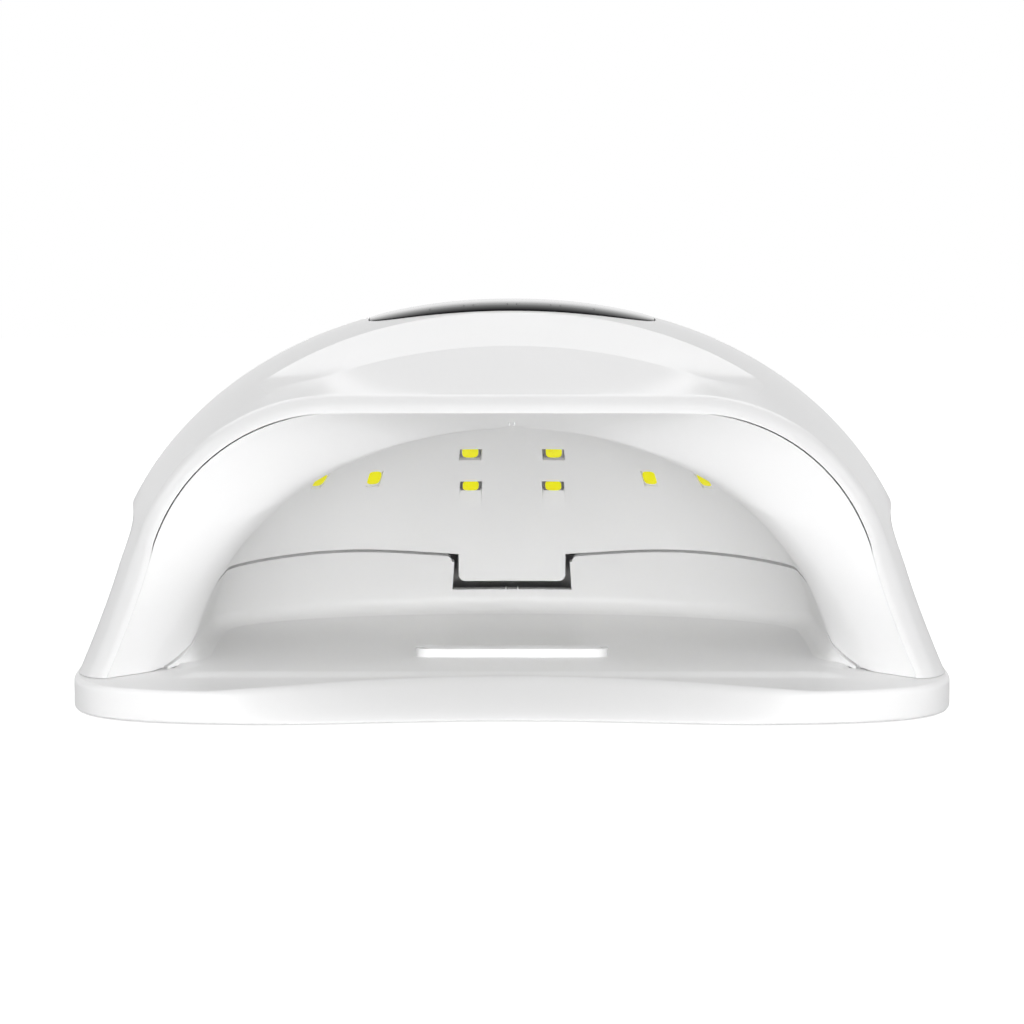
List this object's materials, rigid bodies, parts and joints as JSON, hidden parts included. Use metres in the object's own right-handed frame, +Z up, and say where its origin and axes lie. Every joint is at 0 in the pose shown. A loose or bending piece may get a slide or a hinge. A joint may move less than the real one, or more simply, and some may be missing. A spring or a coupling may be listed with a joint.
{
  "type": "uv nail lamp",
  "caption": "Domed uv nail lamp with a hand arch, light sources round the inside, a glossy display panel with timer keys, and a housing that lifts off its tray.",
  "frame": {"origin": "middle of the footprint, at the level the feet stand on", "axes": "+X to the right as the hand goes in, +Y to the back, +Z up; the opening for the hand faces -Y"},
  "size_m": [0.2268, 0.2055, 0.1033],
  "materials": {
    "white_gloss": "smooth glossy white moulding",
    "white_satin": "satin white moulding",
    "black_gloss": "polished black acrylic",
    "black_matte": "fine matte black",
    "board_green": "solder-masked circuit board",
    "board_white": "white solder mask",
    "phosphor": "yellow resin in a white package",
    "steel": "zinc plated",
    "rubber": "soft dark rubber",
    "wire": "red wire insulation"
  },
  "bodies": {
    "tray": {"base_tray": "white_gloss", "base_cover": "white_satin", "cover_screw_1": "steel", "cover_screw_2": "steel", "cover_screw_3": "steel", "cover_screw_4": "steel", "foot_front_left": "rubber", "foot_front_right": "rubber", "foot_rear_left": "rubber", "foot_rear_right": "rubber", "tray_magnet_left": "steel", "tray_magnet_right": "steel"},
    "housing": {"outer_shell": "white_gloss", "reflector_liner": "white_gloss", "display_lens": "black_gloss", "display_module": "black_matte", "control_board": "board_green", "driver_board": "board_green", "driver_capacitor": "black_matte", "led_rear_upper_left": "phosphor", "led_rear_upper_right": "phosphor", "led_rear_lower_left": "phosphor", "led_rear_lower_right": "phosphor", "led_side_inner_left": "phosphor", "led_side_inner_right": "phosphor", "led_side_outer_left": "phosphor", "led_side_outer_right": "phosphor", "led_side_front_left": "phosphor", "led_side_front_right": "phosphor", "led_ceiling_front_left": "phosphor", "led_ceiling_front_right": "phosphor", "led_ceiling_rear_left": "phosphor", "led_ceiling_rear_right": "phosphor", "led_board_rear": "board_white", "led_board_left": "board_white", "led_board_right": "board_white", "led_board_ceiling": "board_white", "key_switch_first": "black_matte", "key_switch_second": "black_matte", "key_switch_third": "black_matte", "key_switch_fourth": "black_matte", "dc_jack": "black_matte", "sensor_board": "board_green", "sensor_emitter": "board_white", "sensor_receiver": "board_white", "housing_magnet_left": "steel", "housing_magnet_right": "steel", "housing_screw_1": "steel", "housing_screw_2": "steel", "housing_screw_3": "steel", "housing_screw_4": "steel", "lead_power": "wire", "lead_panel": "wire"},
    "key_first": {"timer_key_first": "black_gloss"},
    "key_second": {"timer_key_second": "black_gloss"},
    "key_third": {"timer_key_third": "black_gloss"},
    "key_fourth": {"timer_key_fourth": "black_gloss"}
  },
  "joints": [
    {"name": "housing_lift", "type": "slide", "parent": "tray", "child": "housing", "axis": [0, 0, 1], "range_m": [0, 0.06]},
    {"name": "key_first_press", "type": "slide", "parent": "housing", "child": "key_first", "axis": [0.1063, 0.0725, -0.9917], "range_m": [0, 0.0005], "stiffness_N_per_m": 300, "springref_m": -0.0003},
    {"name": "key_second_press", "type": "slide", "parent": "housing", "child": "key_second", "axis": [0.0309, 0.0716, -0.9969], "range_m": [0, 0.0005], "stiffness_N_per_m": 300, "springref_m": -0.0003},
    {"name": "key_third_press", "type": "slide", "parent": "housing", "child": "key_third", "axis": [-0.0309, 0.0716, -0.9969], "range_m": [0, 0.0005], "stiffness_N_per_m": 300, "springref_m": -0.0003},
    {"name": "key_fourth_press", "type": "slide", "parent": "housing", "child": "key_fourth", "axis": [-0.1063, 0.0725, -0.9917], "range_m": [0, 0.0005], "stiffness_N_per_m": 300, "springref_m": -0.0003}
  ]
}
